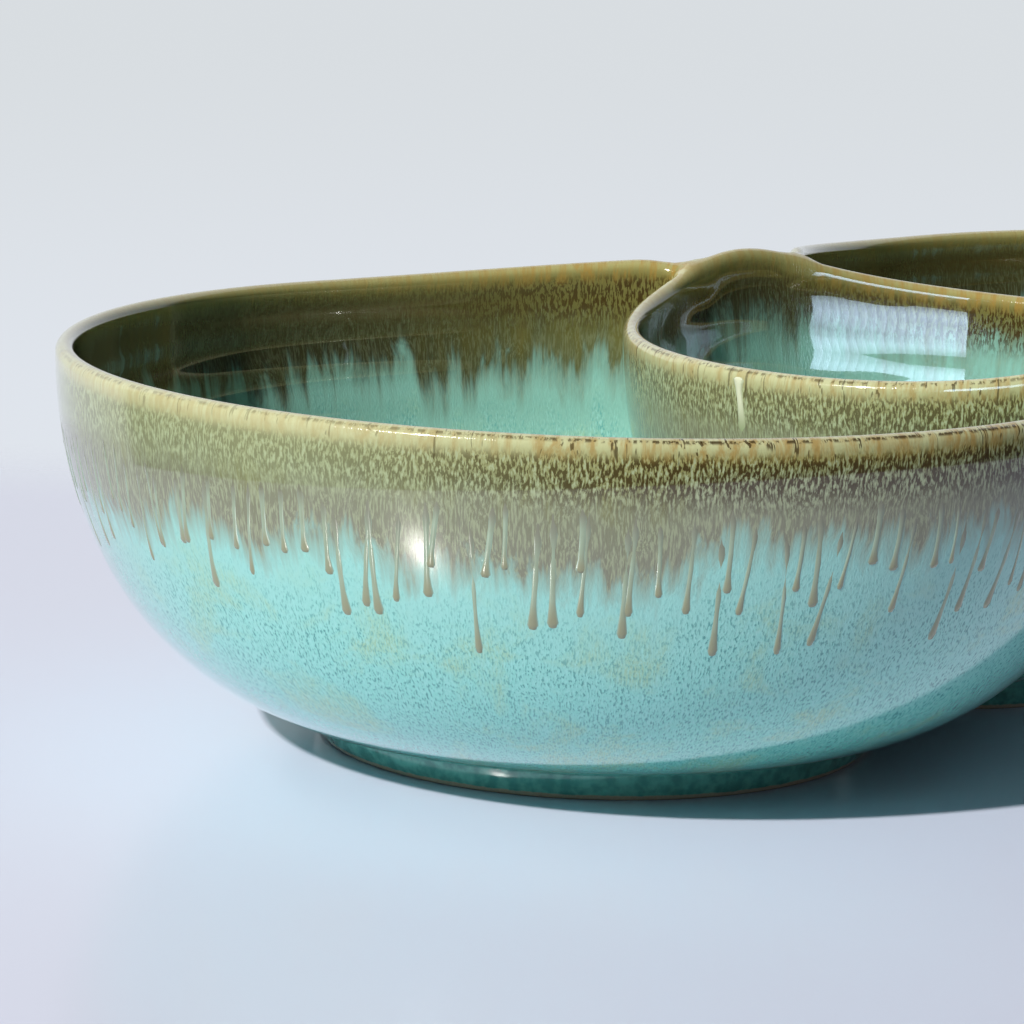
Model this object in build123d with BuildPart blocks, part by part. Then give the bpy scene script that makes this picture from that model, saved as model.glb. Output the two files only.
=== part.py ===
from build123d import *
from collections import namedtuple
import os

# Divided serving bowl, in millimetres.
# Two equal large bowls stand on either side of a smaller dip bowl that runs into both of them.
# Origin on the table below the dip bowl, +X towards the right bowl, +Z up.

# Large bowls
bowl_diameter = 180.0
bowl_height = 65.0
bowl_spacing = 80.8
bowl_belly_diameter = 164.0
bowl_belly_height = 30.0
bowl_foot_diameter = 94.0
bowl_floor_diameter = 73.2
bowl_joint_rise = 5.2
bowl_joint_reach = 76.0
bowl_joint_crest = 11.0

# Dip bowl
dip_diameter = 118.0
dip_height = 60.7
dip_belly_diameter = 106.0
dip_belly_height = 30.0
dip_foot_diameter = 58.0
dip_floor_diameter = 32.0
dip_joint_rise = 9.4
dip_joint_crest = 11.5

# Clay
wall = 5.0
lip = 3.2
lip_round = 1.2
floor = 7.1
foot_height = 4.4
foot_width = 7.0
foot_taper = 1.0
foot_round = 0.8
inner_seam_radius = 4.0
outer_seam_radius = 14.0
outer_seam_bottom = 14.0
seam_gap = 0.1

# The dip bowl's rim rises all the way from its ends inside the large bowls to the joints
dip_joint_reach = dip_diameter / 2 + lip

stock_top = max(bowl_height + bowl_joint_rise, dip_height + dip_joint_rise) + lip
trim_width = bowl_spacing + bowl_diameter

dip_plane = Plane.XZ
left_plane = Plane(origin=(-bowl_spacing, 0, 0), x_dir=(1, 0, 0), z_dir=(0, -1, 0))

# Outline of a bowl: radii, and heights of the shoulder below the upright lip and of the belly
Outline = namedtuple("Outline", "rim shoulder belly belly_height foot floor_edge")
bowl_outline = Outline(
    rim=bowl_diameter / 2,
    shoulder=bowl_height - lip / 2,
    belly=bowl_belly_diameter / 2,
    belly_height=bowl_belly_height,
    foot=bowl_foot_diameter / 2,
    floor_edge=bowl_floor_diameter / 2,
)
dip_outline = Outline(
    rim=dip_diameter / 2,
    shoulder=dip_height - lip / 2,
    belly=dip_belly_diameter / 2,
    belly_height=dip_belly_height,
    foot=dip_foot_diameter / 2,
    floor_edge=dip_floor_diameter / 2,
)


def widened(outline, extra):
    """Outline of a bowl that is wider all round."""
    return outline._replace(
        rim=outline.rim + extra, belly=outline.belly + extra, foot=outline.foot + extra
    )


def side(rim, shoulder, belly, belly_height, end):
    """One face of a bowl's wall from above its lip down: upright lip, wall arc, belly arc."""
    with BuildLine() as face:
        Line((rim, stock_top), (rim, shoulder))
        wall_arc = TangentArc((rim, shoulder), (belly, belly_height), tangent=(0, -1))
        TangentArc((belly, belly_height), end, tangent=wall_arc % 1)
    return face.line


def outer_side(outline):
    """Outside of a bowl down to its foot."""
    foot_edge = (outline.foot, foot_height)
    return side(outline.rim, outline.shoulder, outline.belly, outline.belly_height, foot_edge)


def inner_side(outline):
    """Inside of a bowl down to the edge of its flat floor."""
    mouth, waist = outline.rim - lip, outline.belly - wall
    floor_edge = (outline.floor_edge, foot_height + floor)
    return side(mouth, outline.shoulder, waist, outline.belly_height, floor_edge)


def filled_section(plane, outline, bottom=foot_height):
    """Half section of everything within the outside of a bowl, from a given height up."""
    with BuildSketch(plane) as section:
        with BuildLine() as edge:
            add(outer_side(outline))
            foot_edge = edge.line @ 1
            Polyline(edge.line @ 0, (0, stock_top), (0, foot_height), foot_edge)
        make_face()
        with Locations((0, bottom)):
            Rectangle(trim_width, stock_top, align=(Align.MIN, Align.MIN), mode=Mode.INTERSECT)
    return section.sketch


def hollow_section(plane, outline):
    """Half section of the space inside a bowl."""
    with BuildSketch(plane) as section:
        with BuildLine() as edge:
            add(inner_side(outline))
            floor_edge = edge.line @ 1
            Polyline(edge.line @ 0, (0, stock_top), (0, floor_edge.Y), floor_edge)
        make_face()
    return section.sketch


def upright(plane):
    """Upright axis through a plane's origin."""
    return Axis(plane.origin, (0, 0, 1))


def turn_outside(plane, outline, bottom=foot_height, mode=Mode.ADD):
    """Turn everything within the outside of a bowl about its axis."""
    revolve(filled_section(plane, outline, bottom), axis=upright(plane), mode=mode)


def turn_hollow(plane, outline, mode):
    """Turn the space inside a bowl about its axis."""
    revolve(hollow_section(plane, outline), axis=upright(plane), mode=mode)


def above_rim(height, rise, reach, crest):
    """Everything above a rim that swells upwards in a long arc and a short crest where the bowls join."""
    low, high = (-reach, height), (0, height + rise)
    middle = (-crest, height + rise * (1 - crest / reach))
    with BuildSketch(Plane.XZ) as section:
        with BuildLine():
            swell = TangentArc(low, middle, tangent=(1, 0))
            TangentArc(middle, high, tangent=swell % 1)
            Polyline(low, (-trim_width, height), (-trim_width, 2 * stock_top), (0, 2 * stock_top))
            mirror(about=Plane.YZ)
        make_face()
    return section.sketch


def cut_above_bowl_rim(drop=0.0):
    """Trim the part being built to the large bowls' rim, or to a line below it."""
    above = above_rim(bowl_height - drop, bowl_joint_rise, bowl_joint_reach, bowl_joint_crest)
    extrude(above, trim_width, both=True, mode=Mode.SUBTRACT)


def cut_above_dip_rim(drop=0.0):
    """Trim the part being built to the dip bowl's rim, or to a line below it."""
    above = above_rim(dip_height - drop, dip_joint_rise, dip_joint_reach, dip_joint_crest)
    extrude(above, trim_width, both=True, mode=Mode.SUBTRACT)


def rim_edges(part, height):
    """Edges of a freshly trimmed rim."""
    return part.edges().filter_by(lambda edge: edge.bounding_box().min.Z > height - lip / 4)


def seam_edges(part):
    """Edges where two bowls have just been joined, without those at the flat ends of the stock."""
    return part.edges(Select.NEW).filter_by(lambda edge: edge.bounding_box().size.Z > seam_gap)


def foot_section(plane, foot):
    """Half section of a foot ring that narrows a little towards the table."""
    with BuildSketch(plane) as section:
        with BuildLine():
            Polyline(
                (foot - foot_width, foot_height),
                (foot, foot_height),
                (foot - foot_taper, 0),
                (foot - foot_width + foot_taper, 0),
                close=True,
            )
        make_face()
        fillet(section.vertices().group_by(Axis.Y)[0], foot_round)
    return section.sketch


# Dip bowl, whole, with its rim lower than the large rims except at the joints
with BuildPart() as dip_bowl:
    turn_outside(dip_plane, dip_outline)
    turn_hollow(dip_plane, dip_outline, Mode.SUBTRACT)
    cut_above_dip_rim()
    fillet(rim_edges(dip_bowl, dip_height), lip_round)

# Left bowl, cut away where the dip bowl runs into it
with BuildPart() as left_bowl:
    turn_outside(left_plane, bowl_outline)
    turn_hollow(left_plane, bowl_outline, Mode.SUBTRACT)
    cut_above_bowl_rim()
    fillet(rim_edges(left_bowl, bowl_height), lip_round)
    turn_outside(dip_plane, dip_outline, mode=Mode.SUBTRACT)

# Clay smoothed into the corner between the left bowl's inside and the dip bowl's wall
with BuildPart() as left_inner_seam:
    Cylinder(trim_width, stock_top, align=(Align.CENTER, Align.CENTER, Align.MIN))
    turn_hollow(left_plane, bowl_outline, Mode.SUBTRACT)
    turn_outside(dip_plane, dip_outline)
    fillet(seam_edges(left_inner_seam), inner_seam_radius)
    turn_hollow(left_plane, widened(bowl_outline, -seam_gap), Mode.INTERSECT)
    turn_outside(dip_plane, widened(dip_outline, seam_gap), mode=Mode.SUBTRACT)
    cut_above_bowl_rim(lip_round)
    cut_above_dip_rim(lip_round)

# Clay smoothed down the valleys between the left bowl's outside and the dip bowl's outside
with BuildPart() as left_outer_seam:
    turn_outside(left_plane, bowl_outline, outer_seam_bottom)
    turn_outside(dip_plane, dip_outline, outer_seam_bottom)
    fillet(seam_edges(left_outer_seam), outer_seam_radius)
    turn_outside(left_plane, widened(bowl_outline, seam_gap), mode=Mode.SUBTRACT)
    turn_outside(dip_plane, widened(dip_outline, seam_gap), mode=Mode.SUBTRACT)
    cut_above_bowl_rim(lip_round)
    cut_above_dip_rim(lip_round)

# Foot rings that the bowls stand on
with BuildPart() as dip_foot_ring:
    revolve(foot_section(dip_plane, dip_foot_diameter / 2), axis=upright(dip_plane))
with BuildPart() as left_foot_ring:
    revolve(foot_section(left_plane, bowl_foot_diameter / 2), axis=upright(left_plane))

# The right side is the left side's mirror image
with BuildPart() as right_bowl:
    mirror(left_bowl.part, about=Plane.YZ)
with BuildPart() as right_inner_seam:
    mirror(left_inner_seam.part, about=Plane.YZ)
with BuildPart() as right_outer_seam:
    mirror(left_outer_seam.part, about=Plane.YZ)
with BuildPart() as right_foot_ring:
    mirror(left_foot_ring.part, about=Plane.YZ)

pieces = {
    "left_bowl": left_bowl,
    "right_bowl": right_bowl,
    "dip_bowl": dip_bowl,
    "left_foot_ring": left_foot_ring,
    "right_foot_ring": right_foot_ring,
    "dip_foot_ring": dip_foot_ring,
    "left_inner_seam": left_inner_seam,
    "right_inner_seam": right_inner_seam,
    "left_outer_seam": left_outer_seam,
    "right_outer_seam": right_outer_seam,
}
os.makedirs("parts", exist_ok=True)
for name, piece in pieces.items():
    piece.part.label = name
    export_step(piece.part, f"parts/{name}.step")
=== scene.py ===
import math

import bmesh
import bpy
import numpy as np
from mathutils import Matrix, Vector


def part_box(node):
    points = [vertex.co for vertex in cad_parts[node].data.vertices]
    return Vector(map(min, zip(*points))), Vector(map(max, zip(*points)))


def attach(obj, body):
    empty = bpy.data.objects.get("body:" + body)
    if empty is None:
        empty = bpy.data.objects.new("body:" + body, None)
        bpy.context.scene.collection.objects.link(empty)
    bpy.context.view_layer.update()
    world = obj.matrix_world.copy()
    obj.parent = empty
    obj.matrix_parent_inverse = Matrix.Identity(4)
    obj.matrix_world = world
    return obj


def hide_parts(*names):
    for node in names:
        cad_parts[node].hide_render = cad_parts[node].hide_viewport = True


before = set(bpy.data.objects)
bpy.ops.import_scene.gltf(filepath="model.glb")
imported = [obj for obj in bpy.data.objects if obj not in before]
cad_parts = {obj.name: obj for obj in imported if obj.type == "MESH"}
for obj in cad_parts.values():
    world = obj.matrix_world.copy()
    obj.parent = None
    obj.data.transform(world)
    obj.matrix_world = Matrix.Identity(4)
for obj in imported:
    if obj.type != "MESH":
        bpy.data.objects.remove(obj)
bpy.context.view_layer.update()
mm = 0.001

# widths and places, read from the frame
leftLow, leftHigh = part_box("left_bowl")
dipLow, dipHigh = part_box("dip_bowl")
largeRim = (leftHigh[1] - leftLow[1]) / 2
dipRim = (dipHigh[1] - dipLow[1]) / 2
spacing = -leftLow[0] - largeRim

clay = {
    "wall": 5.0 * mm,
    "lip": 3.2 * mm,
    "lipCrown": 1.6 * mm,
    "underside": 4.4 * mm,
    "floorTop": 11.5 * mm,
    "wobble": 0.3 * mm,  # hand-thrown unevenness of the rims
    "throwing": 0.12 * mm,  # depth of the finger rings inside
    "throwingStep": 7.5 * mm,
    "throwingFade": 10.0 * mm,  # the finger rings begin over this depth
    "flareFull": 12.0 * mm,  # depth by which a leaning upper wall leans its most
    "flareGone": 40.0 * mm,
    "flareFade": 20.0 * mm,
    "lipSteps": 6,  # points over each half of a lip
    "wallSteps": 26,
    "undersideSteps": 8,
    "floorSteps": 10,
}
largeBowl = {
    "rim": largeRim,
    "height": 65.0 * mm,
    "belly": 82.0 * mm,
    "bellyHeight": 30.0 * mm,
    "foot": 47.0 * mm,
    "floorEdge": 36.6 * mm,
    "rise": 5.2 * mm,  # how far the rim swells up at the joints
    "reach": 76.0 * mm,  # how far from the middle the swelling starts
    "crest": 11.0 * mm,
    "flare": 0.0,
    "sooner": 0.0,
    "columns": 240,
}
dipBowl = {
    "rim": dipRim,
    "height": 60.7 * mm,
    "belly": 53.0 * mm,
    "bellyHeight": 30.0 * mm,
    "foot": 29.0 * mm,
    "floorEdge": 16.0 * mm,
    "rise": 9.4 * mm,
    "reach": dipRim + clay["lip"],
    "crest": 11.5 * mm,
    "flare": 0.9 * mm,  # how much the upper wall leans out inside
    "sooner": 8.0 * mm,  # how much sooner the glaze band ends inside
    "columns": 200,
}


def smoothStep(value):
    part = np.clip(value, 0, 1)
    return part * part * (3 - 2 * part)


def swell(x, bowl):  # rim height gained near the joints, a long curve up to a short crest
    part = np.clip(np.abs(x) / bowl["reach"], 0, 1)
    crest = bowl["crest"] / bowl["reach"]
    return bowl["rise"] * np.where(part < crest, 1 - part**2 / crest, (1 - part) ** 2 / (1 - crest))


def wallFace(rim, shoulder, belly, bellyHeight, end, steps):  # wall arc, then belly arc, from the lip down
    drop = shoulder - bellyHeight
    wallRadius = ((rim - belly) ** 2 + drop**2) / (2 * (rim - belly))
    lean = math.asin(drop / wallRadius)
    turn = np.linspace(0, lean, steps)
    upper = np.stack([rim - wallRadius + wallRadius * np.cos(turn),
                      shoulder - wallRadius * np.sin(turn)], 1)
    start = np.array([belly, bellyHeight])
    inward = np.array([-math.cos(lean), math.sin(lean)])
    chord = np.array(end) - start
    bellyRadius = chord @ chord / (2 * chord @ inward)
    centre = start + inward * bellyRadius
    first = math.atan2(*(start - centre)[::-1])
    last = math.atan2(*(np.array(end) - centre)[::-1])
    sweep = np.linspace(first, last, steps)[1:]
    lower = centre + bellyRadius * np.stack([np.cos(sweep), np.sin(sweep)], 1)
    return np.vstack([upper, lower])


def flatEnd(radius, height, steps):  # level line in to the axis
    return np.stack([np.linspace(radius, 0, steps)[1:], np.full(steps - 1, height)], 1)


def bowlFaces(bowl):  # outside and inside lines of a bowl, each from the lip's crest to the axis
    shoulder = bowl["height"] - clay["lipCrown"]
    outside = wallFace(bowl["rim"], shoulder, bowl["belly"], bowl["bellyHeight"],
                       (bowl["foot"], clay["underside"]), clay["wallSteps"])
    inside = wallFace(bowl["rim"] - clay["lip"], shoulder, bowl["belly"] - clay["wall"],
                      bowl["bellyHeight"], (bowl["floorEdge"], clay["floorTop"]), clay["wallSteps"])
    depth = shoulder - inside[:, 1]
    rings = np.sin(2 * math.pi * depth / clay["throwingStep"]) * smoothStep(depth / clay["throwingFade"])
    flare = smoothStep(depth / clay["flareFull"])
    flare = flare * smoothStep((clay["flareGone"] - depth) / clay["flareFade"])
    inside[:, 0] += clay["throwing"] * rings - bowl["flare"] * flare
    quarter = np.linspace(0, math.pi / 2, clay["lipSteps"] + 1)[:-1]
    half = clay["lip"] / 2
    over = np.stack([half * np.sin(quarter), shoulder + clay["lipCrown"] * np.cos(quarter)], 1)
    underside = flatEnd(bowl["foot"], clay["underside"], clay["undersideSteps"])
    floor = flatEnd(bowl["floorEdge"], clay["floorTop"], clay["floorSteps"])
    outer = np.vstack([over + [bowl["rim"] - half, 0], outside, underside])
    inner = np.vstack([over * [-1, 1] + [bowl["rim"] - half, 0], inside, floor])
    return outer, inner


def placedBowl(sizes, centre, seed):
    outer, inner = bowlFaces(sizes)
    lobes = np.random.default_rng(seed).uniform(0, 2 * math.pi, 3)
    return dict(sizes, centre=centre, outer=outer, inner=inner, lobes=lobes)


bowls = {
    "left": placedBowl(largeBowl, -spacing, 2),
    "dip": placedBowl(dipBowl, 0.0, 5),
    "right": placedBowl(largeBowl, spacing, 3),
}
joint = {
    "inside": 8.0 * mm,  # width of the smoothing inside the large bowls
    "outside": 20.0 * mm,
    "lip": 3.5 * mm,
    "fade": 16.0 * mm,  # the smoothing narrows to the lip's over this depth
    "turnOver": 8.0 * mm,  # from the inside's width to the outside's over this length
    "lowest": 12.0 * mm,
    "most": 3.0 * mm,  # the most that one pass moves the clay
    "meet": 9.0 * mm,  # the large rims run into the dip rim over this length
    "rubbed": 4.0 * mm,  # the joints' tops are rubbed smooth this far around
    "rubbedAbove": 62.0 * mm,
    "rubs": 10,
    "coreAbove": 30.0 * mm,  # the core that cuts the large walls stands this far above the rim
    "merged": 0.15 * mm,  # points of a top this near each other become one
}


def bentBy(bowl, p):  # how the rising rim and hand throwing move points of the plain turned form
    around = np.arctan2(p[:, 1], p[:, 0] - bowl["centre"])
    upper = np.clip((p[:, 2] - bowl["bellyHeight"]) / (bowl["height"] - bowl["bellyHeight"]), 0, 1) ** 2
    rimX = bowl["centre"] + bowl["rim"] * np.cos(around)
    rise = swell(rimX, bowl)
    if bowl["centre"]:
        reach = np.hypot(rimX, bowl["rim"] * np.sin(around))
        dip = bowls["dip"]
        dipRise = dip["height"] + swell(dip["rim"] * rimX / reach, dip) - bowl["height"]
        rise = rise + (dipRise - rise) * smoothStep((dip["rim"] + joint["meet"] - reach) / joint["meet"])
    outward = sum(np.sin(n * around + lobe) / n for n, lobe in zip((2, 3, 5), bowl["lobes"]))
    outward = outward * clay["wobble"] * upper
    return np.stack([outward * np.cos(around), outward * np.sin(around), rise * upper], 1)


def unbent(bowl, p):
    plain = p
    for step in range(3):
        plain = p - bentBy(bowl, plain)
    return plain


def lineGap(line, r, z):  # gap from a line, more where r is more, and how far along the line it is
    start, span = line[:-1], np.diff(line, axis=0)
    length = np.hypot(*span.T)
    begins = np.cumsum(length) - length
    gap, along = np.empty(len(r)), np.empty(len(r))
    for part in np.array_split(np.arange(len(r)), 1 + len(r) // 20000):
        off = np.stack([r[part], z[part]], 1)[:, None] - start
        way = np.clip((off * span).sum(2) / length**2, 0, 1)
        off = off - way[:, :, None] * span
        size = np.hypot(off[..., 0], off[..., 1])
        near = size.argmin(1)
        rows = np.arange(len(part))
        side = span[near, 0] * off[rows, near, 1] - span[near, 1] * off[rows, near, 0]
        gap[part] = np.copysign(size[rows, near], side)
        along[part] = begins[near] + way[rows, near] * length[near]
    return gap, along


def clayGaps(bowl, p):  # gaps from points to a bowl's outside and inside, and how far down each they lie
    plain = unbent(bowl, p)
    r = np.hypot(plain[:, 0] - bowl["centre"], plain[:, 1])
    outGap, outDown = lineGap(bowl["outer"], r, plain[:, 2])
    inGap, inDown = lineGap(bowl["inner"], r, plain[:, 2])
    return outGap, -inGap, outDown, inDown


def makeObject(name, verts, faces):
    mesh = bpy.data.meshes.new(name)
    mesh.from_pydata([tuple(v) for v in verts], [], faces)
    build = bmesh.new()
    build.from_mesh(mesh)
    bmesh.ops.recalc_face_normals(build, faces=build.faces)
    build.to_mesh(mesh)
    build.free()
    obj = bpy.data.objects.new(name, mesh)
    bpy.context.collection.objects.link(obj)
    return obj


def turnedPoints(line, centre, columns):
    around = np.linspace(0, 2 * math.pi, columns, endpoint=False)
    r, z = line[:, 0][:, None], line[:, 1][:, None]
    return np.stack([centre + r * np.cos(around), r * np.sin(around), z + 0 * around], 2).reshape(-1, 3)


def gridFaces(rows, columns, closedRows=False):
    faces = []
    for i in range(rows if closedRows else rows - 1):
        for j in range(columns):
            k, below = (j + 1) % columns, (i + 1) % rows
            faces.append((i * columns + j, i * columns + k, below * columns + k, below * columns + j))
    return faces


def turnedObject(name, line, bowl):  # closed turned form whose line runs from axis to axis
    columns = bowl["columns"]
    verts = turnedPoints(line[1:-1], bowl["centre"], columns)
    faces = gridFaces(len(line) - 2, columns)
    first, last = len(verts), len(verts) - columns
    verts = np.vstack([verts, [bowl["centre"], 0, line[0, 1]], [bowl["centre"], 0, line[-1, 1]]])
    for j in range(columns):
        k = (j + 1) % columns
        faces.append((first, k, j))
        faces.append((first + 1, last + j, last + k))
    return makeObject(name, verts + bentBy(bowl, verts), faces)


def bowlObject(name, bowl):
    return turnedObject(name, np.vstack([bowl["outer"][::-1], bowl["inner"][1:]]), bowl)


def coreObject(name, bowl):  # all within the middle of a bowl's wall, open to the sky
    walls = bowl["outer"][clay["lipSteps"] + 1:1 - clay["undersideSteps"]][::-1] - [clay["lip"] / 2, 0]
    top = bowl["height"] + joint["coreAbove"]
    line = np.vstack([[0, 0], [walls[0, 0], 0], walls, [walls[-1, 0], top], [0, top]])
    return turnedObject(name, line, bowl)


def bake(piece):  # the evaluated object as a plain mesh
    shown = piece.evaluated_get(bpy.context.evaluated_depsgraph_get())
    mesh = bpy.data.meshes.new_from_object(shown)
    piece.modifiers.clear()
    old = piece.data
    piece.data = mesh
    bpy.data.meshes.remove(old)
    mesh.name = piece.name


def carve(piece, operation, other):
    cut = piece.modifiers.new("carve", "BOOLEAN")
    cut.operation = operation
    cut.solver = "EXACT"
    cut.object = other
    bake(piece)


def meshPoints(mesh):
    p = np.empty(len(mesh.vertices) * 3)
    mesh.vertices.foreach_get("co", p)
    return p.reshape(-1, 3)


def smoothShade(piece, degrees=50):
    piece.data.polygons.foreach_set("use_smooth", [True] * len(piece.data.polygons))
    piece.data.set_sharp_from_angle(angle=math.radians(degrees))


# the dish: three thrown bowls joined into one
dish = bowlObject("glazed_dish", bowls["dip"])
core = coreObject("dip_core", bowls["dip"])
for side in ("left", "right"):
    large = bowlObject(side + "_wall", bowls[side])
    carve(large, "DIFFERENCE", core)
    carve(dish, "UNION", large)
    bpy.data.objects.remove(large)
bpy.data.objects.remove(core)
print("dish joined,", len(dish.data.polygons), "faces")


glazeLay = {
    "thinAndShadedTowards": (-0.78, 0.63),  # the flecks are fewer and paler on this side of each bowl, and inside the bowls this side gets painted shade
    "thinAndShadedOver": 65.0 * mm,
    "dipThin": (0.2, 0.4),  # least and spread on the dip bowl's outside
    "shorter": 4.5 * mm,  # how much sooner the band ends on the other side
    "shorterOver": 50.0 * mm,
    "widest": 1.6,  # near the axis the pattern spreads no more than this
}


def glazeFlow(p):  # each point's place on the rim and depth below the lip, how the glaze lies, and the side that gets painted shade inside
    best = np.full(len(p), 1.0)
    flow = np.zeros((len(p), 3))
    inside, sooner, thin = np.zeros((3, len(p)))
    for bowl in bowls.values():
        outGap, inGap, outDown, inDown = clayGaps(bowl, p)
        gap = np.minimum(np.abs(outGap), np.abs(inGap))
        mine = gap < best
        hollow = np.abs(inGap) < np.abs(outGap)
        x, y = p[:, 0] - bowl["centre"], p[:, 1]
        r = np.maximum(np.hypot(x, y), 0.01 * mm)
        outwards = np.minimum(bowl["rim"], glazeLay["widest"] * r) / r
        here = np.stack([bowl["centre"] + x * outwards, y * outwards, np.where(hollow, inDown, outDown)], 1)
        lean = (here[:, :2] - [bowl["centre"], 0]) @ glazeLay["thinAndShadedTowards"]
        short = glazeLay["shorter"] * smoothStep(0.2 - lean / glazeLay["shorterOver"])
        thinAndShadedHere = smoothStep(0.2 + lean / glazeLay["thinAndShadedOver"])
        least, spread = (0.0, 1.0) if bowl["centre"] else glazeLay["dipThin"]
        thinAndShadedHere = np.where(hollow, thinAndShadedHere, least + spread * thinAndShadedHere)
        flow[mine], inside[mine], best[mine] = here[mine], hollow[mine], gap[mine]
        sooner[mine] = np.where(hollow, bowl["sooner"], short)[mine]
        thin[mine] = thinAndShadedHere[mine]
    return flow, inside, sooner, thin


def addShare(mesh, name, values):
    mesh.attributes.new(name, "FLOAT", "POINT").data.foreach_set("value", values)


def addFlow(mesh, p):
    flow, *rest = glazeFlow(p)
    mesh.attributes.new("flow", "FLOAT_VECTOR", "POINT").data.foreach_set("vector", flow.ravel())
    for name, values in zip(("inside", "sooner", "thin"), rest):
        addShare(mesh, name, values)


def jointWidth(p, outGap, inGap):  # how wide the smoothing is at each point
    outside = smoothStep((outGap - inGap) / joint["turnOver"] + 0.5)
    wide = joint["inside"] + (joint["outside"] - joint["inside"]) * outside
    depth = (bowls["left"]["height"] - p[:, 2]) / joint["fade"]
    return joint["lip"] + (wide - joint["lip"]) * smoothStep(depth)


def joinGaps(large, p):
    return *clayGaps(bowls[large], p)[:2], *clayGaps(bowls["dip"], p)[:2]


def solidGaps(large, p):
    outGap, inGap, dipOut, dipIn = joinGaps(large, p)
    return np.maximum(outGap, inGap), np.maximum(dipOut, dipIn)


def smoothJoint(p, large):  # fills the corners between a large bowl and the dip bowl, as a finger would
    nudge = 0.02 * mm
    for step in range(2):
        outGap, inGap, dipOut, dipIn = joinGaps(large, p)
        gap, dipGap = np.maximum(outGap, inGap), np.maximum(dipOut, dipIn)
        width = jointWidth(p, outGap, inGap)
        mix = np.clip(0.5 + 0.5 * (dipGap - gap) / width, 0, 1)
        miss = dipGap * (1 - mix) + gap * mix - width * mix * (1 - mix)
        slope = np.empty_like(p)
        for axis in range(3):
            nextGap, nextDip = solidGaps(large, p + np.eye(3)[axis] * nudge)
            slope[:, axis] = ((nextDip - dipGap) * (1 - mix) + (nextGap - gap) * mix) / nudge
        keep = smoothStep(1 + dipOut / clay["lipCrown"]) * smoothStep(p[:, 2] / joint["lowest"])
        move = -miss * keep / np.maximum((slope**2).sum(1), 0.2)
        p = p + slope * np.clip(move, 0, joint["most"])[:, None]
    return p


points = meshPoints(dish.data)
addFlow(dish.data, points)
for side in ("left", "right"):
    gap, dipGap = solidGaps(side, points)
    nearBoth = np.abs(gap - dipGap) < joint["outside"]
    points[nearBoth] = smoothJoint(points[nearBoth], side)
dish.data.vertices.foreach_set("co", points.ravel())
dish.data.update()


def rubTops(mesh):  # the tops where two rims meet
    rim, dip = largeRim - clay["lip"] / 2, dipRim - clay["lip"] / 2
    x = (spacing**2 + dip**2 - rim**2) / (2 * spacing)
    y = math.sqrt(dip**2 - x**2)
    tops = [Vector((sideX, sideY)) for sideX in (-x, x) for sideY in (-y, y)]
    build = bmesh.new()
    build.from_mesh(mesh)

    def around():
        high = [v for v in build.verts if v.co.z > joint["rubbedAbove"]]
        return [v for v in high if min((v.co.xy - top).length for top in tops) < joint["rubbed"]]

    bmesh.ops.remove_doubles(build, verts=around(), dist=joint["merged"])
    everyWay = {"use_axis_x": True, "use_axis_y": True, "use_axis_z": True}
    for step in range(joint["rubs"]):
        bmesh.ops.smooth_vert(build, verts=around(), factor=0.5, **everyWay)
    build.to_mesh(mesh)
    build.free()


rubTops(dish.data)
smoothShade(dish)
print("joints smoothed")

# foot rings
footRing = {
    "width": 7.0 * mm,
    "taper": 1.0 * mm,
    "round": 0.8 * mm,
    "sunk": 0.4 * mm,  # how far the ring reaches up into the bowl
    "columns": 200,
}


def footObject(name, bowl):
    foot, width, taper, soft = bowl["foot"], footRing["width"], footRing["taper"], footRing["round"]
    bend = np.linspace(0, math.pi / 2, 5)
    height = soft - soft * np.sin(bend)
    outer = np.stack([foot - taper - soft + soft * np.cos(bend), height], 1)
    inner = np.stack([foot - width + taper + soft - soft * np.cos(bend), height], 1)[::-1]
    top = clay["underside"] + footRing["sunk"]
    waist = [foot - 0.4 * taper, 0.5 * clay["underside"]]
    line = np.vstack([[foot, top], [foot, clay["underside"]], waist, outer, inner, [foot - width, top]])
    verts = turnedPoints(line, bowl["centre"], footRing["columns"])
    return makeObject(name, verts, gridFaces(len(line), footRing["columns"], True))


feet = {side: footObject(side + "_foot_glazed", bowl) for side, bowl in bowls.items()}
for piece in feet.values():
    smoothShade(piece)
print("feet turned")


# helpers for the node trees
def addNode(tree, kind, **settings):
    made = tree.nodes.new(kind)
    for name, value in settings.items():
        setattr(made, name, value)
    return made


def feed(tree, socket, value):  # links a socket, or sets a plain value
    if isinstance(value, bpy.types.NodeSocket):
        tree.links.new(value, socket)
    else:
        socket.default_value = value


def calc(tree, operation, first, second=0.0):
    made = addNode(tree, "ShaderNodeMath", operation=operation)
    feed(tree, made.inputs[0], first)
    feed(tree, made.inputs[1], second)
    made.inputs[2].default_value = 1.0  # what MULTIPLY_ADD adds
    return made.outputs[0]


def vectorCalc(tree, operation, first, second):
    made = addNode(tree, "ShaderNodeVectorMath", operation=operation)
    feed(tree, made.inputs[0], first)
    feed(tree, made.inputs[1], second)
    return made.outputs[0]


def band(tree, value, low, high):  # 0 at low, 1 at high, smooth between
    made = addNode(tree, "ShaderNodeMapRange", interpolation_type="SMOOTHSTEP")
    feed(tree, made.inputs[0], value)
    made.inputs[1].default_value = low
    made.inputs[2].default_value = high
    return made.outputs[0]


def noise(tree, place, stretch, detail=2.0, rough=0.5, twist=0.0):  # soft noise with a grain for each axis
    made = addNode(tree, "ShaderNodeTexNoise")
    feed(tree, made.inputs["Vector"], vectorCalc(tree, "MULTIPLY", place, stretch))
    made.inputs["Scale"].default_value = 1.0
    made.inputs["Detail"].default_value = detail
    made.inputs["Roughness"].default_value = rough
    made.inputs["Distortion"].default_value = twist
    return made.outputs[0]


def share(tree, name):  # a number that each point of the mesh holds
    return addNode(tree, "ShaderNodeAttribute", attribute_name=name).outputs["Fac"]


def times(tree, first, *others):
    for other in others:
        first = calc(tree, "MULTIPLY", first, other)
    return first


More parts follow.
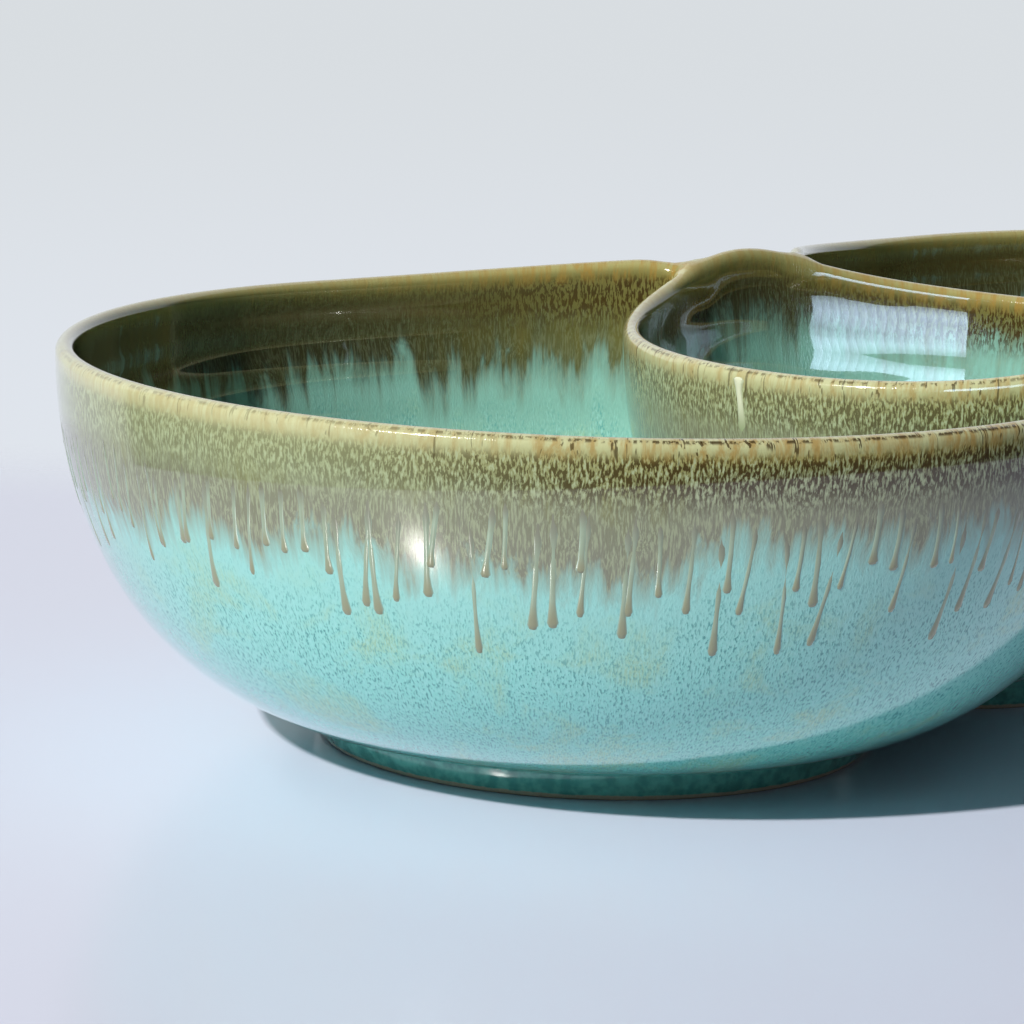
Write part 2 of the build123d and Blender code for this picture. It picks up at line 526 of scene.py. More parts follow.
def tint(tree, under, over, amount):  # lays one colour over another
    made = addNode(tree, "ShaderNodeMix", data_type="RGBA")
    feed(tree, made.inputs[0], amount)
    feed(tree, made.inputs[6], under)
    feed(tree, made.inputs[7], over)
    return made.outputs[2]


def splitUp(tree, vector):
    made = addNode(tree, "ShaderNodeSeparateXYZ")
    feed(tree, made.inputs[0], vector)
    return made.outputs


def depthColours(tree, depth, deepest, stops):  # colours by depth below the lip in millimetres
    made = addNode(tree, "ShaderNodeValToRGB")
    feed(tree, made.inputs[0], calc(tree, "DIVIDE", depth, deepest))
    ramp = made.color_ramp
    while len(ramp.elements) < len(stops):
        ramp.elements.new(1.0)
    for element, (at, colour) in zip(ramp.elements, stops):
        element.position = at / deepest
        element.color = (*colour, 1)
    return made.outputs[0]


glazeLook = {
    "roughness": 0.15,
    "specular": 0.15,
    "coatIor": 1.65,
    "coatRoughness": 0.03,
    "outside": [
        (0.0, (0.52, 0.53, 0.32)),
        (2.4, (0.46, 0.49, 0.26)),
        (3.8, (0.31, 0.31, 0.12)),
        (8.0, (0.19, 0.20, 0.08)),
        (12.0, (0.19, 0.205, 0.125)),
        (19.0, (0.20, 0.21, 0.15)),
        (22.0, (0.26, 0.44, 0.38)),
        (26.0, (0.29, 0.63, 0.59)),
        (46.0, (0.24, 0.64, 0.58)),
        (62.0, (0.19, 0.62, 0.52)),
        (76.0, (0.11, 0.50, 0.41)),
    ],
    "hollow": [
        (0.0, (0.44, 0.40, 0.20)),
        (1.6, (0.33, 0.31, 0.12)),
        (3.2, (0.17, 0.155, 0.045)),
        (11.0, (0.12, 0.12, 0.035)),
        (15.0, (0.11, 0.125, 0.055)),
        (18.0, (0.17, 0.31, 0.25)),
        (24.0, (0.21, 0.44, 0.37)),
        (60.0, (0.18, 0.44, 0.38)),
        (90.0, (0.14, 0.40, 0.37)),
    ],
    "brown": (0.045, 0.026, 0.006, 1),
    # painted shade colour, laid on the band inside the bowls on the side away from the key light
    "paintedShadeBrown": (0.022, 0.020, 0.009, 1),
    "paleGreen": (0.40, 0.48, 0.30, 1),
    "lipGreen": (0.55, 0.57, 0.35, 1),
    "amber": (0.34, 0.20, 0.04, 1),
    "aqua": (0.34, 0.70, 0.68, 1),
    "teal": (0.08, 0.31, 0.30, 1),
    "olive": (0.35, 0.50, 0.26, 1),
}


def glazeShader(material):  # sets the gloss and gives the shader back
    material.use_nodes = True
    shader = material.node_tree.nodes["Principled BSDF"]
    shader.inputs["Roughness"].default_value = glazeLook["roughness"]
    shader.inputs["Specular IOR Level"].default_value = glazeLook["specular"]
    shader.inputs["Coat Weight"].default_value = 1.0
    shader.inputs["Coat IOR"].default_value = glazeLook["coatIor"]
    shader.inputs["Coat Roughness"].default_value = glazeLook["coatRoughness"]
    return shader


def flowPlace(tree):  # the flow attribute in millimetres, and its depth
    flow = addNode(tree, "ShaderNodeAttribute", attribute_name="flow").outputs["Vector"]
    place = vectorCalc(tree, "MULTIPLY", flow, (1000.0, 1000.0, 1000.0))
    return place, splitUp(tree, place)[2]


def addBump(tree, shader, height, distance):
    bump = addNode(tree, "ShaderNodeBump")
    bump.inputs["Strength"].default_value = 0.5
    bump.inputs["Distance"].default_value = distance
    feed(tree, bump.inputs["Height"], height)
    feed(tree, shader.inputs["Normal"], bump.outputs[0])


def glazeGrain(tree):  # what the dish's glaze is worked out from
    place, depth = flowPlace(tree)
    sway = noise(tree, place, (0.12, 0.12, 0.10), 1.0)
    wavy = vectorCalc(tree, "ADD", place, vectorCalc(tree, "MULTIPLY", sway, (4.0, 4.0, 0.0)))
    inside, thin = share(tree, "inside"), share(tree, "thin")
    return {
        "place": place,
        "depth": depth,
        "wavy": wavy,
        "inside": inside,
        "outside": calc(tree, "SUBTRACT", 1.0, inside),
        "thin": thin,
        "thick": calc(tree, "MULTIPLY_ADD", thin, -0.6),
        "streak": noise(tree, wavy, (0.60, 0.60, 0.035), 3.0, 0.6),
        "thread": noise(tree, wavy, (3.0, 3.0, 0.40), 2.0, 0.6),
        "dash": noise(tree, wavy, (3.0, 3.0, 1.2), 1.0),
    }


def raggedDepth(tree, grain):  # depth below the lip, uneven where the band gives way to the body colour
    broad = noise(tree, grain["place"], (0.07, 0.07, 0.012), 2.0)
    tongue = noise(tree, grain["wavy"], (0.22, 0.22, 0.02), 2.0)
    ragged = times(tree, calc(tree, "SUBTRACT", grain["streak"], 0.5), 14.0)
    wave = times(tree, calc(tree, "SUBTRACT", broad, 0.5), 12.0)
    longer = calc(tree, "MULTIPLY_ADD", grain["inside"], 20.0)
    tongues = times(tree, calc(tree, "SUBTRACT", tongue, 0.5), longer)
    offset = calc(tree, "ADD", calc(tree, "ADD", ragged, wave), tongues)
    offset = times(tree, offset, band(tree, grain["depth"], 2.0, 16.0))
    sooner = times(tree, share(tree, "sooner"), 1000.0, band(tree, grain["depth"], 3.0, 8.0))
    run = calc(tree, "ADD", calc(tree, "ADD", grain["depth"], offset), sooner)
    return calc(tree, "MAXIMUM", run, 0.0)


def groundColour(tree, grain):
    colour = depthColours(tree, grain["run"], 80.0, glazeLook["outside"])
    hollow = depthColours(tree, grain["run"], 95.0, glazeLook["hollow"])
    colour = tint(tree, colour, hollow, grain["inside"])
    # painted shade: inside each bowl the band is darkened on the side that faces away from the key light
    inBand = times(tree, band(tree, grain["depth"], 2.5, 6.0), band(tree, grain["run"], 22.0, 15.0))
    paintedShade = times(tree, inBand, grain["inside"], grain["thin"], 0.75)
    return tint(tree, colour, glazeLook["paintedShadeBrown"], paintedShade)


def bandMarks(tree, grain, colour):  # pale streaks low in the band, flecks above them
    inStreaks = times(tree, band(tree, grain["run"], 6.0, 10.0), band(tree, grain["run"], 23.0, 18.0))
    fewer = calc(tree, "MULTIPLY_ADD", grain["inside"], -0.75)
    pale = times(tree, band(tree, grain["thread"], 0.45, 0.60), inStreaks, fewer)
    colour = tint(tree, colour, glazeLook["paleGreen"], times(tree, pale, 0.45))
    inFlecks = times(tree, band(tree, grain["depth"], 2.4, 4.4), band(tree, grain["depth"], 13.5, 7.5))
    paler = times(tree, inFlecks, grain["thin"], grain["outside"], 0.55)
    colour = tint(tree, colour, glazeLook["paleGreen"], paler)
    fleck = noise(tree, grain["wavy"], (2.5, 2.5, 0.80), 2.0, 0.55)
    dark = times(tree, band(tree, fleck, 0.46, 0.55), inFlecks, grain["thick"])
    colour = tint(tree, colour, glazeLook["brown"], times(tree, dark, 0.92))
    light = times(tree, band(tree, fleck, 0.44, 0.35), inFlecks, grain["outside"])
    return tint(tree, colour, glazeLook["paleGreen"], times(tree, light, 0.75))


def bodyMarks(tree, grain, colour):  # olive clouds and fine dashes
    cloud = noise(tree, grain["place"], (0.06, 0.06, 0.08), 4.0, 0.6, 0.5)
    onBody = band(tree, grain["run"], 21.0, 38.0)
    cloudy = times(tree, band(tree, cloud, 0.48, 0.66), onBody)
    mottle = calc(tree, "MULTIPLY_ADD", band(tree, grain["thread"], 0.60, 0.42), 1.2)
    colour = tint(tree, colour, glazeLook["olive"], times(tree, cloudy, mottle, 0.30))
    often = calc(tree, "MULTIPLY_ADD", band(tree, cloud, 0.62, 0.40), 0.5)
    dashes = times(tree, band(tree, grain["dash"], 0.51, 0.70), onBody, often)
    colour = tint(tree, colour, glazeLook["teal"], times(tree, dashes, 0.68))
    lighter = times(tree, band(tree, grain["dash"], 0.45, 0.34), onBody)
    return tint(tree, colour, glazeLook["aqua"], times(tree, lighter, 0.45))


def lipMarks(tree, grain, colour):  # pale on one side, amber with brown hairlines on the other
    depth, outside, thick = grain["depth"], grain["outside"], grain["thick"]
    onLip = band(tree, depth, 5.0, 2.4)
    colour = tint(tree, colour, glazeLook["lipGreen"], times(tree, onLip, grain["thin"], outside, 0.7))
    stain = noise(tree, grain["wavy"], (0.7, 0.7, 0.10), 4.0, 0.65)
    stain = times(tree, band(tree, stain, 0.38, 0.66), onLip, thick)
    colour = tint(tree, colour, glazeLook["amber"], times(tree, stain, 0.75))
    across = calc(tree, "ABSOLUTE", splitUp(tree, grain["place"])[0])
    clear = band(tree, across, 26.0, 38.0)  # none where the bowls join
    hairLength = calc(tree, "SUBTRACT", noise(tree, grain["place"], (0.3, 0.3, 0.0), 2.0), 0.25)
    below = calc(tree, "SUBTRACT", depth, times(tree, hairLength, 14.0))
    hairs = band(tree, noise(tree, grain["wavy"], (1.1, 1.1, 0.03), 2.0, 0.7), 0.61, 0.64)
    hairs = times(tree, hairs, band(tree, below, 0.5, -0.5), outside, thick, clear)
    colour = tint(tree, colour, glazeLook["brown"], times(tree, hairs, 0.85))
    crest = times(tree, band(tree, depth, 0.7, 1.0), band(tree, depth, 1.7, 1.2), outside, thick, clear)
    worn = noise(tree, grain["place"], (0.9, 0.9, 0.5), 4.0, 0.7)
    crest = times(tree, crest, band(tree, worn, 0.47, 0.56))
    return tint(tree, colour, glazeLook["brown"], times(tree, crest, 0.9))


def dishGlaze():
    material = bpy.data.materials.new("running_glaze")
    shader = glazeShader(material)
    tree = material.node_tree
    grain = glazeGrain(tree)
    grain["run"] = raggedDepth(tree, grain)
    colour = groundColour(tree, grain)
    for marks in (bandMarks, bodyMarks, lipMarks):
        colour = marks(tree, grain, colour)
    feed(tree, shader.inputs["Base Color"], colour)
    addBump(tree, shader, calc(tree, "ADD", grain["streak"], grain["dash"]), 0.10 * mm)
    return material


footLook = {
    "teal": (0.07, 0.31, 0.26, 1),
    "lightTeal": (0.14, 0.52, 0.43, 1),
    "clay": (0.42, 0.33, 0.21, 1),
    "paleClay": (0.62, 0.52, 0.37, 1),
    "glazeEnds": (0.45, 0.75),  # millimetres above the table
}


def footGlaze():  # teal glaze that stops short of the table, on bare tan clay
    material = bpy.data.materials.new("foot_glaze")
    shader = glazeShader(material)
    tree = material.node_tree
    place = addNode(tree, "ShaderNodeTexCoord").outputs["Object"]
    place = vectorCalc(tree, "MULTIPLY", place, (1000.0, 1000.0, 1000.0))
    grain = noise(tree, place, (0.5, 0.5, 0.5), 3.0)
    height = calc(tree, "ADD", splitUp(tree, place)[2], calc(tree, "MULTIPLY", grain, -0.5))
    glazed = tint(tree, footLook["teal"], footLook["lightTeal"], band(tree, grain, 0.35, 0.7))
    speckle = noise(tree, place, (3.0, 3.0, 3.0), 3.0)
    bare = tint(tree, footLook["clay"], footLook["paleClay"], speckle)
    glazeShows = band(tree, height, *footLook["glazeEnds"])
    feed(tree, shader.inputs["Base Color"], tint(tree, bare, glazed, glazeShows))
    addBump(tree, shader, grain, 0.1 * mm)
    return material


# runs of glaze down the outside of the large bowls
glazeRun = {
    "count": 170,
    "start": 9.5 * mm,  # depth below the lip
    "startSpread": 3.0 * mm,
    "shortest": 12.0 * mm,
    "longest": 27.0 * mm,
    "width": 2.0 * mm,
    "thickness": 0.13 * mm,
    "keepOut": 74.0 * mm,  # none this near the dip bowl's axis
    "deep": 48.0 * mm,  # depth of the guide sheet
}
runSeeds = {"left": 11, "right": 24}
runLook = {
    "olive": (0.25, 0.29, 0.19, 1),
    "paleOlive": (0.32, 0.45, 0.34, 1),
    "top": (0.20, 0.21, 0.15, 1),
    "drop": (0.26, 0.27, 0.16, 1),
    "edge": (0.26, 0.50, 0.45, 1),
}


def unitRun():  # a thin trail of unit size that rises out of the band and ends in a flat drop
    def sway(y):
        return 0.12 * math.sin(5 * y)

    rows = [(0.0, 0.60, -1.6), (0.18, 0.42, -0.9), (0.32, 0.32, -0.4), (0.60, 0.24, -0.2),
            (0.80, 0.24, -0.1), (0.89, 0.32, 0.0), (0.95, 0.40, 0.0), (0.985, 0.30, -0.3)]
    ring = [(-1.0, -0.1), (-0.6, 0.7), (0.0, 1.0), (0.6, 0.7), (1.0, -0.1), (0.0, -0.9)]
    verts = [(x * half + sway(y), y, z + lift) for y, half, lift in rows for x, z in ring]
    faces = gridFaces(len(rows), len(ring))
    last = len(verts) - len(ring)
    verts += [(0, -0.01, -1.6), (sway(1.0), 1.0, -0.6)]
    for j in range(len(ring)):
        k = (j + 1) % len(ring)
        faces.append((last + len(ring), k, j))
        faces.append((last + len(ring) + 1, last + j, last + k))
    edge = [abs(x) for row in rows for x, z in ring] + [1.0, 1.0]
    return np.array(verts), faces, edge


def runMesh(name):
    verts, faces, edge = unitRun()
    piece = makeObject(name, verts, faces)
    addShare(piece.data, "along", verts[:, 1])
    addShare(piece.data, "edge", edge)
    return piece


def onOutside(bowl, around, down, out):  # places on a bowl's outside, by angle and depth below the lip
    line = bowl["outer"]
    along = np.concatenate([[0], np.cumsum(np.hypot(*np.diff(line, axis=0).T))])
    r = np.interp(down, along, line[:, 0]) + out
    z = np.interp(down, along, line[:, 1])
    p = np.stack([bowl["centre"] + r * np.cos(around), r * np.sin(around), z], 1)
    return p + bentBy(bowl, p)


def guideSheet(name, bowl):  # the outside unrolled: u around from the dip bowl, v down from the lip
    columns, rows = 181, 25
    begin = math.pi if bowl["centre"] > 0 else 0.0
    u, v = np.meshgrid(np.linspace(0, 1, columns), np.linspace(0, 1, rows))
    verts = onOutside(bowl, (begin + 2 * math.pi * u).ravel(), (glazeRun["deep"] * v).ravel(), 0.0)
    faces = [(i * columns + j, (i + 1) * columns + j, (i + 1) * columns + j + 1, i * columns + j + 1)
             for i in range(rows - 1) for j in range(columns - 1)]
    mesh = bpy.data.meshes.new(name)
    mesh.from_pydata([tuple(p) for p in verts], [], faces)
    sheet = np.stack([u.ravel(), v.ravel(), 0 * u.ravel()], 1)
    mesh.attributes.new("sheet", "FLOAT_VECTOR", "POINT").data.foreach_set("vector", sheet.ravel())
    addFlow(mesh, verts)
    guide = bpy.data.objects.new(name, mesh)
    bpy.context.collection.objects.link(guide)
    return guide


def runTree(material):
    tree = bpy.data.node_groups.new("glazeRuns", "GeometryNodeTree")
    sockets = tree.interface
    sockets.new_socket("run", in_out="INPUT", socket_type="NodeSocketGeometry")
    sockets.new_socket("guide", in_out="INPUT", socket_type="NodeSocketObject")
    sockets.new_socket("seed", in_out="INPUT", socket_type="NodeSocketInt")
    sockets.new_socket("around", in_out="INPUT", socket_type="NodeSocketFloat")
    for name, value in glazeRun.items():
        kind = "NodeSocketInt" if isinstance(value, int) else "NodeSocketFloat"
        sockets.new_socket(name, in_out="INPUT", socket_type=kind)
    sockets.new_socket("runs", in_out="OUTPUT", socket_type="NodeSocketGeometry")
    given = addNode(tree, "NodeGroupInput").outputs

    def chance(low, high, step):
        made = addNode(tree, "FunctionNodeRandomValue", data_type="FLOAT")
        feed(tree, made.inputs[2], low)
        feed(tree, made.inputs[3], high)
        feed(tree, made.inputs["Seed"], calc(tree, "ADD", given["seed"], step))
        return made.outputs[1]

    def joined(x, y, z):
        made = addNode(tree, "ShaderNodeCombineXYZ")
        for socket, value in zip(made.inputs, (x, y, z)):
            feed(tree, socket, value)
        return made.outputs[0]

    guide = addNode(tree, "GeometryNodeObjectInfo")
    feed(tree, guide.inputs["Object"], given["guide"])
    place = addNode(tree, "GeometryNodeInputPosition").outputs[0]
    normal = addNode(tree, "GeometryNodeInputNormal").outputs[0]

    def named(name):
        made = addNode(tree, "GeometryNodeInputNamedAttribute", data_type="FLOAT_VECTOR")
        made.inputs["Name"].default_value = name
        return made.outputs[0]

    def onGuide(value):  # what the guide sheet holds under the place in unrolled space
        here = splitUp(tree, place)
        u = calc(tree, "DIVIDE", here[0], given["around"])
        v = calc(tree, "DIVIDE", here[1], given["deep"])
        made = addNode(tree, "GeometryNodeSampleUVSurface", data_type="FLOAT_VECTOR")
        feed(tree, made.inputs["Mesh"], guide.outputs["Geometry"])
        feed(tree, made.inputs["Value"], value)
        feed(tree, made.inputs["UV Map"], named("sheet"))
        feed(tree, made.inputs["Sample UV"], joined(u, v, 0.0))
        return made.outputs[0]

    index = addNode(tree, "GeometryNodeInputIndex").outputs[0]
    part = calc(tree, "DIVIDE", calc(tree, "ADD", index, chance(0.1, 0.9, 0)), given["count"])
    across = calc(tree, "MULTIPLY", part, given["around"])
    spread = calc(tree, "MULTIPLY", given["startSpread"], chance(-0.5, 0.5, 1))
    start = calc(tree, "ADD", given["start"], spread)
    points = addNode(tree, "GeometryNodePoints")
    feed(tree, points.inputs["Count"], given["count"])
    feed(tree, points.inputs["Position"], joined(across, start, 0.0))

    reach = addNode(tree, "ShaderNodeVectorMath", operation="LENGTH")
    feed(tree, reach.inputs[0], vectorCalc(tree, "MULTIPLY", onGuide(place), (1.0, 1.0, 0.0)))
    tooNear = addNode(tree, "FunctionNodeCompare", data_type="FLOAT", operation="LESS_THAN")
    feed(tree, tooNear.inputs[0], reach.outputs["Value"])
    feed(tree, tooNear.inputs[1], given["keepOut"])
    kept = addNode(tree, "GeometryNodeDeleteGeometry", domain="POINT")
    feed(tree, kept.inputs[0], points.outputs[0])
    feed(tree, kept.inputs[1], tooNear.outputs[0])

    span = calc(tree, "SUBTRACT", given["longest"], given["shortest"])
    more = calc(tree, "POWER", chance(0.0, 1.0, 2), 1.4)  # more short runs than long ones
    length = calc(tree, "ADD", given["shortest"], calc(tree, "MULTIPLY", span, more))
    width = calc(tree, "MULTIPLY", given["width"], chance(0.7, 1.25, 3))
    laid = addNode(tree, "GeometryNodeInstanceOnPoints")
    feed(tree, laid.inputs["Points"], kept.outputs[0])
    feed(tree, laid.inputs["Instance"], given["run"])
    feed(tree, laid.inputs["Scale"], joined(width, length, given["thickness"]))
    lean = joined(0.0, 0.0, chance(-0.10, 0.10, 4))
    feed(tree, laid.inputs["Rotation"], lean)
    real = addNode(tree, "GeometryNodeRealizeInstances")
    feed(tree, real.inputs[0], laid.outputs[0])

    lifted = vectorCalc(tree, "SCALE", onGuide(normal), (0.0, 0.0, 0.0))
    feed(tree, lifted.node.inputs["Scale"], splitUp(tree, place)[2])
    flowed = addNode(tree, "GeometryNodeStoreNamedAttribute", data_type="FLOAT_VECTOR", domain="POINT")
    flowed.inputs["Name"].default_value = "flow"
    feed(tree, flowed.inputs[0], real.outputs[0])
    feed(tree, flowed.inputs["Value"], onGuide(named("flow")))
    wrapped = addNode(tree, "GeometryNodeSetPosition")
    feed(tree, wrapped.inputs[0], flowed.outputs[0])
    feed(tree, wrapped.inputs["Position"], vectorCalc(tree, "ADD", onGuide(place), lifted))
    whole = addNode(tree, "GeometryNodeRealizeInstances")
    feed(tree, whole.inputs[0], wrapped.outputs[0])
    coated = addNode(tree, "GeometryNodeSetMaterial")
    feed(tree, coated.inputs[0], whole.outputs[0])
    coated.inputs["Material"].default_value = material
    feed(tree, addNode(tree, "NodeGroupOutput").inputs[0], coated.outputs[0])
    return tree


def runGlaze():
    material = bpy.data.materials.new("run_glaze")
    shader = glazeShader(material)
    tree = material.node_tree
    along = share(tree, "along")
    grain = noise(tree, flowPlace(tree)[0], (0.9, 0.9, 0.25), 2.0)
    colour = tint(tree, runLook["olive"], runLook["paleOlive"], grain)
    colour = tint(tree, colour, runLook["top"], band(tree, along, 0.5, 0.2))
    colour = tint(tree, colour, runLook["drop"], band(tree, along, 0.7, 0.95))
    soft = times(tree, band(tree, share(tree, "edge"), 0.5, 1.0), 0.6)
    feed(tree, shader.inputs["Base Color"], tint(tree, colour, runLook["edge"], soft))
    addBump(tree, shader, grain, 0.08 * mm)
    return material


def runsOn(name, bowl, tree, seed):
    piece = runMesh(name)
    guide = guideSheet(name + "_guide", bowl)
    added = piece.modifiers.new("runs", "NODES")
    added.node_group = tree
    values = dict(glazeRun, guide=guide, seed=seed, around=2 * math.pi * bowl["rim"])
    for socket in tree.interface.items_tree:
        if socket.in_out == "INPUT" and socket.name in values:
            added[socket.identifier] = values[socket.name]
    bake(piece)
    bpy.data.objects.remove(guide)
    smoothShade(piece, 60)
    return piece


runsTree = runTree(runGlaze())
runs = {side: runsOn(side + "_runs", bowls[side], runsTree, seed) for side, seed in runSeeds.items()}
print("glaze runs,", [len(piece.data.polygons) for piece in runs.values()], "faces")

# one pale run below the dip bowl's lip
paleRun = {
    "turn": -171.8,  # degrees around the dip bowl
    "start": 2.2 * mm,
    "length": 11.0 * mm,
    "width": 3.2 * mm,
    "thickness": 0.3 * mm,
    "white": (0.66, 0.70, 0.52, 1),
    "green": (0.30, 0.37, 0.20, 1),
    "edge": (0.26, 0.31, 0.15, 1),
}


def paleGlaze():
    material = bpy.data.materials.new("pale_glaze")
    shader = glazeShader(material)
    tree = material.node_tree
    fading = band(tree, share(tree, "along"), 0.3, 0.9)
    faded = tint(tree, paleRun["white"], paleRun["green"], fading)
    soft = times(tree, band(tree, share(tree, "edge"), 0.4, 1.0), 0.7)
    feed(tree, shader.inputs["Base Color"], tint(tree, faded, paleRun["edge"], soft))
    return material


def paleRunOn(bowl):  # its drop hangs from the lip and its trail thins out below
    verts, faces, edge = unitRun()
    down = 1 - verts[:, 1]
    turn = math.radians(paleRun["turn"]) + verts[:, 0] * paleRun["width"] / bowl["rim"]
    depth = paleRun["start"] + paleRun["length"] * down
    places = onOutside(bowl, turn, depth, paleRun["thickness"] * verts[:, 2])
    piece = makeObject("dip_pale_run", places, faces)
    addShare(piece.data, "along", down)
    addShare(piece.data, "edge", edge)
    piece.data.materials.append(paleGlaze())
    smoothShade(piece, 60)
    return piece


runs["dip"] = paleRunOn(bowls["dip"])

dish.data.materials.append(dishGlaze())
foot = footGlaze()
for piece in feet.values():
    piece.data.materials.append(foot)

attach(dish, "root")
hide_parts("left_bowl", "right_bowl", "dip_bowl", "left_inner_seam", "right_inner_seam",
            "left_outer_seam", "right_outer_seam")
for side, piece in feet.items():
    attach(piece, "root")
    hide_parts(side + "_foot_ring")
for side, piece in runs.items():
    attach(piece, "root")
    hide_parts(side + "_bowl")
print("glaze made")

# stage: a pale table with a crisp near edge, which fades into the backdrop far off
tableSizes = {
    "centre": (-24.0 * mm, -30.0 * mm),
    "radius": 0.272,
    "edge": 0.004,
    "fadeFrom": 0.135,  # along the line of sight from the middle
    "fadeTo": 0.215,
    "sideFade": (0.28, 0.35),
    "nearEdge": (0.10, -0.06),  # the crisp edge shows from the first of these places to the second
    "away": (0.6263, 0.7796, 0.0),  # the line of sight on the table
    "outer": 0.36,
    "columns": 96,
    "colour": (0.70, 0.73, 0.90, 1),
    "roughness": 0.2,
    "specular": 0.35,
}
tableRing = np.linspace(0, 2 * math.pi, tableSizes["columns"], endpoint=False)
tableX = tableSizes["centre"][0] + tableSizes["outer"] * np.cos(tableRing)
tableY = tableSizes["centre"][1] + tableSizes["outer"] * np.sin(tableRing)
tableVerts = np.stack([tableX, tableY, 0 * tableRing], 1)
table = makeObject("pale_table", tableVerts, [tuple(range(tableSizes["columns"]))])


def tableMaterial():
    material = bpy.data.materials.new("pale_table")
    material.use_nodes = True
    tree = material.node_tree
    shader = tree.nodes["Principled BSDF"]
    shader.inputs["Base Color"].default_value = tableSizes["colour"]
    shader.inputs["Roughness"].default_value = tableSizes["roughness"]
    shader.inputs["Specular IOR Level"].default_value = tableSizes["specular"]
    place = addNode(tree, "ShaderNodeTexCoord").outputs["Object"]
    off = addNode(tree, "ShaderNodeVectorMath", operation="DISTANCE")
    feed(tree, off.inputs[0], place)
    off.inputs[1].default_value = (*tableSizes["centre"], 0)
    away = addNode(tree, "ShaderNodeVectorMath", operation="DOT_PRODUCT")
    feed(tree, away.inputs[0], place)
    away.inputs[1].default_value = tableSizes["away"]
    far = band(tree, away.outputs["Value"], tableSizes["fadeFrom"], tableSizes["fadeTo"])
    edge = band(tree, off.outputs["Value"], tableSizes["radius"], tableSizes["radius"] + tableSizes["edge"])
    edge = calc(tree, "MULTIPLY", edge, band(tree, away.outputs["Value"], *tableSizes["nearEdge"]))
    far = calc(tree, "MAXIMUM", far, band(tree, off.outputs["Value"], *tableSizes["sideFade"]))
    clear = addNode(tree, "ShaderNodeBsdfTransparent")
    fade = addNode(tree, "ShaderNodeMixShader")
    feed(tree, fade.inputs[0], calc(tree, "MAXIMUM", far, edge))
    feed(tree, fade.inputs[1], shader.outputs[0])
    feed(tree, fade.inputs[2], clear.outputs[0])
    feed(tree, tree.nodes["Material Output"].inputs[0], fade.outputs[0])
    return material


table.data.materials.append(tableMaterial())

# camera and lights
view = {
    "place": (-513.1 * mm, -514.7 * mm, 164.5 * mm),
    "turn": -38.777,  # degrees about Z, away from looking along +Y
    "tilt": -10.752,
    "roll": -1.574,
    "focal": 145.14,  # for a 36 mm wide sensor
}
cameraData = bpy.data.cameras.new("camera")
camera = bpy.data.objects.new("camera", cameraData)
bpy.context.collection.objects.link(camera)
cameraData.sensor_width = 36
cameraData.lens = view["focal"]
cameraData.clip_start = 0.01
camera.matrix_world = (
    Matrix.Translation(view["place"])
    @ Matrix.Rotation(math.radians(view["turn"]), 4, "Z")
    @ Matrix.Rotation(math.radians(view["tilt"]), 4, "X")
    @ Matrix.Rotation(math.radians(view["roll"]), 4, "Y")
    @ Matrix.Rotation(math.radians(90), 4, "X")
)
bpy.context.scene.camera = camera

keyLight = {
    "turn": -171.0,  # degrees, where the light comes from
    "lift": 36.3,
    "strength": 4.6,
    "angle": 2.5,
    "colour": (1.0, 0.97, 0.92),
}
keyData = bpy.data.lights.new("key", "SUN")
keyData.energy = keyLight["strength"]
keyData.angle = math.radians(keyLight["angle"])
keyData.color = keyLight["colour"]
key = bpy.data.objects.new("key", keyData)
bpy.context.collection.objects.link(key)
keyTurn, keyLift = math.radians(keyLight["turn"]), math.radians(keyLight["lift"])
keyFlat = math.cos(keyLift)
keyFrom = Vector((math.cos(keyTurn) * keyFlat, math.sin(keyTurn) * keyFlat, math.sin(keyLift)))
key.rotation_euler = keyFrom.to_track_quat("Z", "Y").to_euler()

softLight = {
    "aim": (0.05, 0.02, 0.055),  # the dip bowl's far wall
    "turns": range(-80, -141, -4),  # degrees, as seen from there
    "off": 0.33,
    "height": 0.13,
    "size": (0.0235, 0.10),
    "spread": 28.0,
    "strength": 0.0018,
    "colour": (0.58, 0.79, 1.0),
}


def softLamp(name, place):  # a gridded soft box that only shows in the gloss
    data = bpy.data.lights.new(name, "AREA")
    data.shape = "RECTANGLE"
    data.size, data.size_y = softLight["size"]
    data.spread = math.radians(softLight["spread"])
    data.energy = softLight["strength"]
    data.color = softLight["colour"]
    lamp = bpy.data.objects.new(name, data)
    bpy.context.collection.objects.link(lamp)
    lamp.location = place
    lamp.rotation_euler = (Vector(place) - Vector(softLight["aim"])).to_track_quat("Z", "Y").to_euler()
    lamp.visible_camera = False
    lamp.visible_diffuse = False


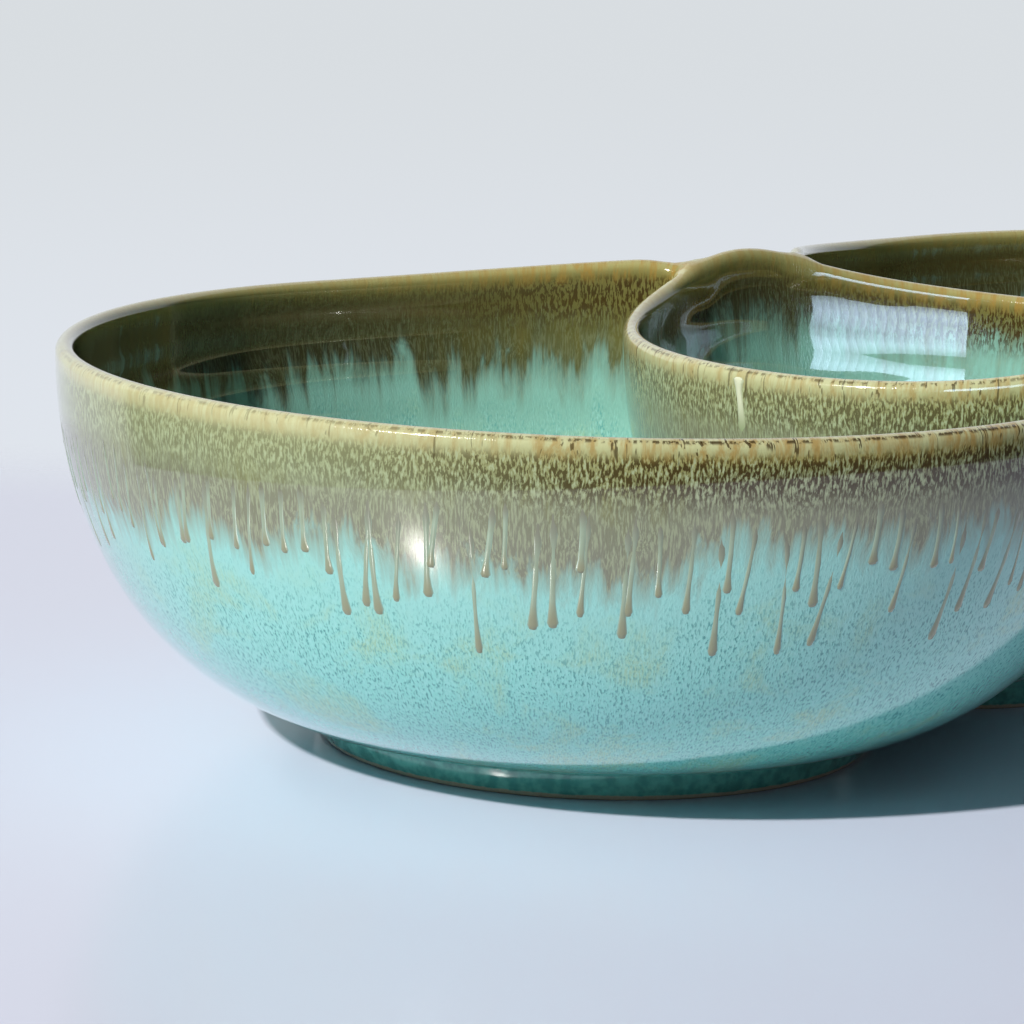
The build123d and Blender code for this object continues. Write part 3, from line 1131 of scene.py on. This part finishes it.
for number, turn in enumerate(np.radians(softLight["turns"])):
    lampX = softLight["aim"][0] + softLight["off"] * math.cos(turn)
    lampY = softLight["aim"][1] + softLight["off"] * math.sin(turn)
    softLamp("soft_box_" + str(number), (lampX, lampY, softLight["height"]))

room = {
    "backdropLow": (0.74, 0.78, 0.84, 1),
    "backdropHigh": (0.69, 0.725, 0.755, 1),
    "horizon": (-0.17, -0.07),
    "backdropLight": (0.08, 0.085, 0.09, 1),  # what the backdrop gives to matt surfaces
    "walls": (0.10, 0.10, 0.10, 1),
    "wallGloss": (0.02, 0.02, 0.02, 1),
    "ceiling": (0.08, 0.09, 0.10, 1),
    "ceilingFrom": (0.1, 0.8),
    "backdropFrom": (0.38, 0.50),
}


def roomWorld():  # a pale backdrop behind the dish, a dim room before it and a bright ceiling
    world = bpy.data.worlds.new("room")
    world.use_nodes = True
    tree = world.node_tree
    look = addNode(tree, "ShaderNodeTexCoord").outputs["Generated"]
    up = splitUp(tree, look)[2]
    away = addNode(tree, "ShaderNodeVectorMath", operation="DOT_PRODUCT")
    feed(tree, away.inputs[0], look)
    away.inputs[1].default_value = tableSizes["away"]
    risen = band(tree, up, *room["horizon"])
    backdrop = tint(tree, room["backdropLow"], room["backdropHigh"], risen)
    ways = addNode(tree, "ShaderNodeLightPath").outputs
    seen = calc(tree, "MAXIMUM", ways["Is Camera Ray"], ways["Is Glossy Ray"])
    backdrop = tint(tree, room["backdropLight"], backdrop, seen)
    walls = tint(tree, room["walls"], room["wallGloss"], ways["Is Glossy Ray"])
    walls = tint(tree, walls, room["ceiling"], band(tree, up, *room["ceilingFrom"]))
    facing = band(tree, away.outputs["Value"], *room["backdropFrom"])
    behind = calc(tree, "MAXIMUM", facing, ways["Is Camera Ray"])
    shade = tree.nodes["Background"]
    feed(tree, shade.inputs["Color"], tint(tree, walls, backdrop, behind))
    shade.inputs["Strength"].default_value = 1.0
    return world


bpy.context.scene.world = roomWorld()
bpy.context.scene.view_settings.view_transform = "Standard"
print("stage, camera and lights set")
